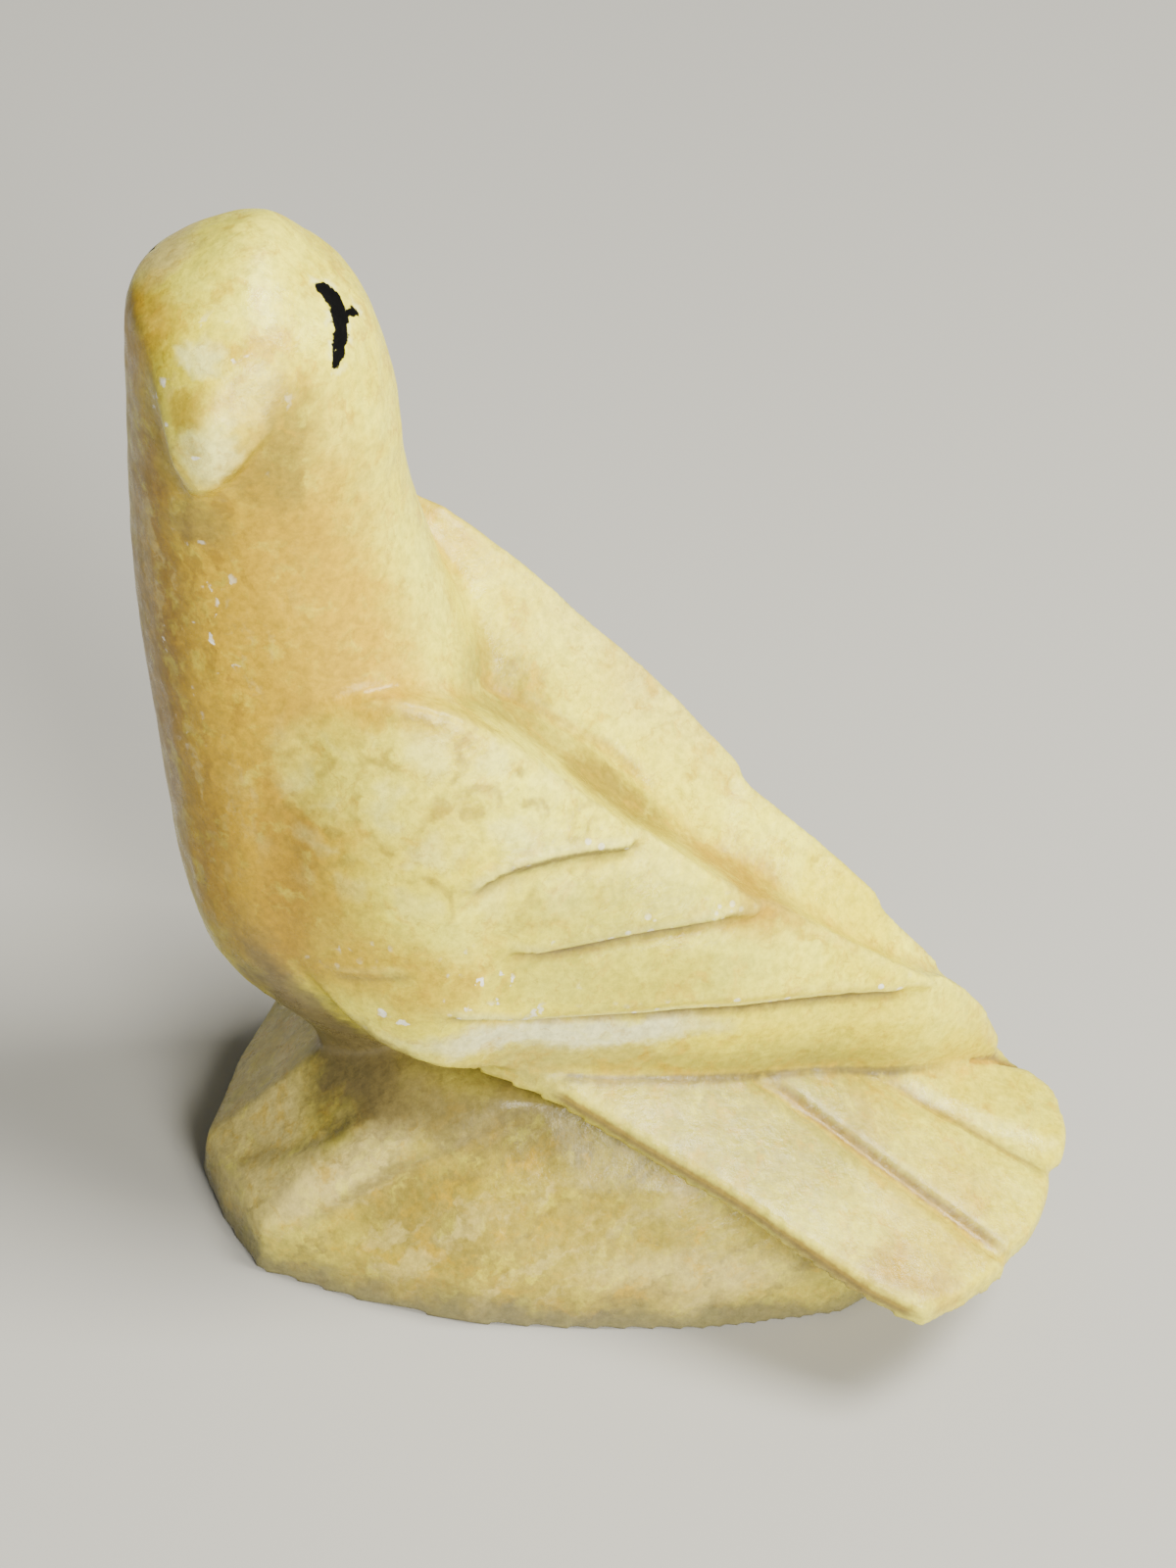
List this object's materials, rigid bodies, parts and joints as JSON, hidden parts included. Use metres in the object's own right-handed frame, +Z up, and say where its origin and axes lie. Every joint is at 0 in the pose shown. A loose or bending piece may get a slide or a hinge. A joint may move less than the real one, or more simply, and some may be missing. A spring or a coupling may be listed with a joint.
{
  "type": "carved stone bird",
  "caption": "Small soapstone bird with folded wings and turned head, carved in one piece with its rock base.",
  "frame": {"origin": "middle of the rock's flat underside, on the surface that the carving stands on", "axes": "+Z up, -Y the way the breast faces, +Y the way the tail points, +X the bird's left, to which its head is turned"},
  "size_m": [0.0211, 0.0414, 0.0463],
  "materials": {
    "stone": "polished"
  },
  "bodies": {
    "root": {"bird_on_rock": "stone"}
  },
  "joints": []
}
